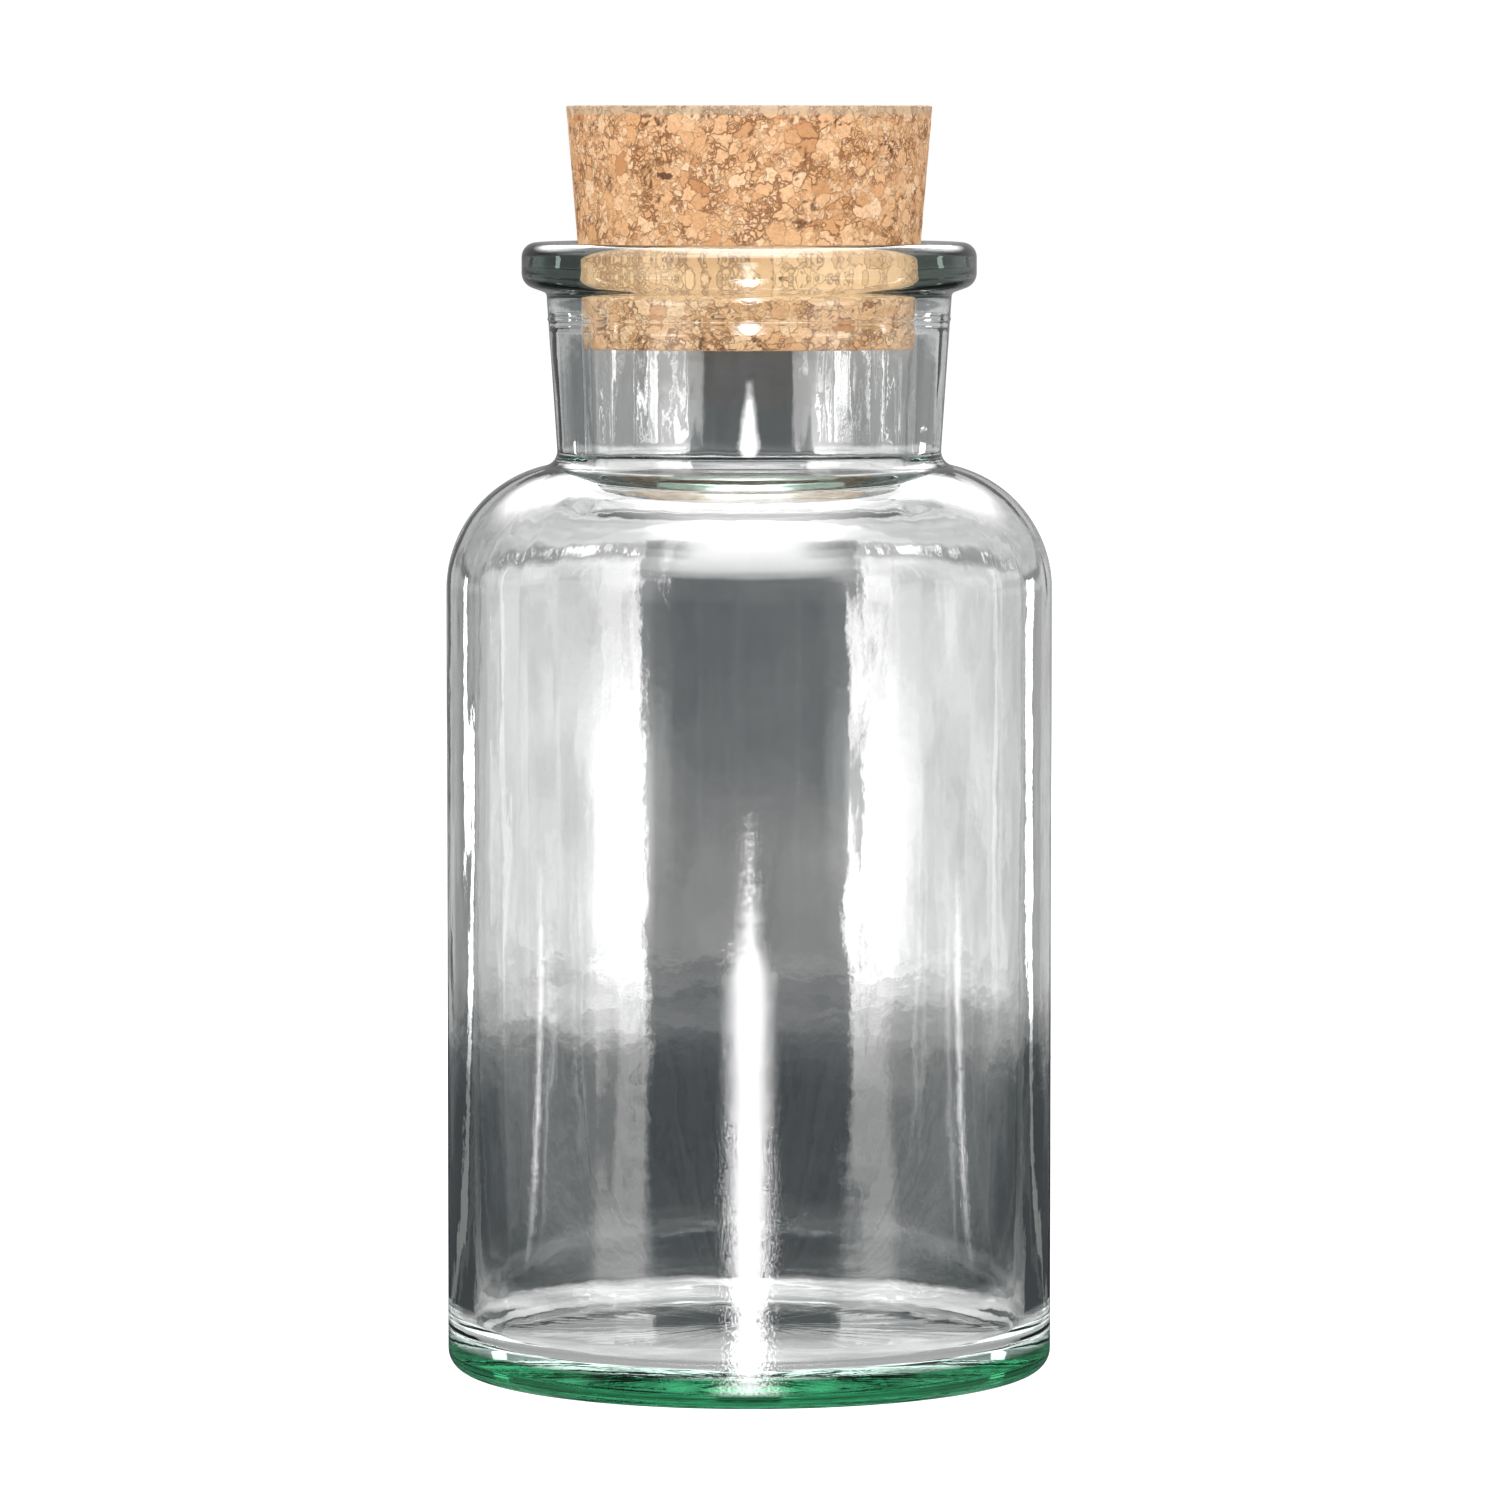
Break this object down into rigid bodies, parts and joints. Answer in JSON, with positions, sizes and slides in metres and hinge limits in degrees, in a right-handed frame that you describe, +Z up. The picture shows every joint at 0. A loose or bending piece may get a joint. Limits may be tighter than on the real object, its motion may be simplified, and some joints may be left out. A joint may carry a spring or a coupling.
{
  "type": "glass jar with cork stopper",
  "caption": "Round storage jar of thick clear glass with a short tapered neck and a rolled lip, closed by a tapered stopper of pressed cork.",
  "frame": {"origin": "centre of the foot, on the plane that the jar stands on", "axes": "+Z up along the jar's axis; the jar and its stopper are round, so X and Y are any two directions square to it"},
  "size_m": [0.1, 0.1, 0.209],
  "materials": {
    "clear_glass": "clear, polished, faintly green where it is thick",
    "pressed_cork": "matte, pressed cork granules"
  },
  "bodies": {
    "jar": {"glass_jar": "clear_glass"},
    "stopper": {"cork_stopper": "pressed_cork"}
  },
  "joints": [
    {"name": "cork_lift", "type": "slide", "parent": "jar", "child": "stopper", "axis": [0, 0, 1], "range_m": [0, 0.06]}
  ]
}
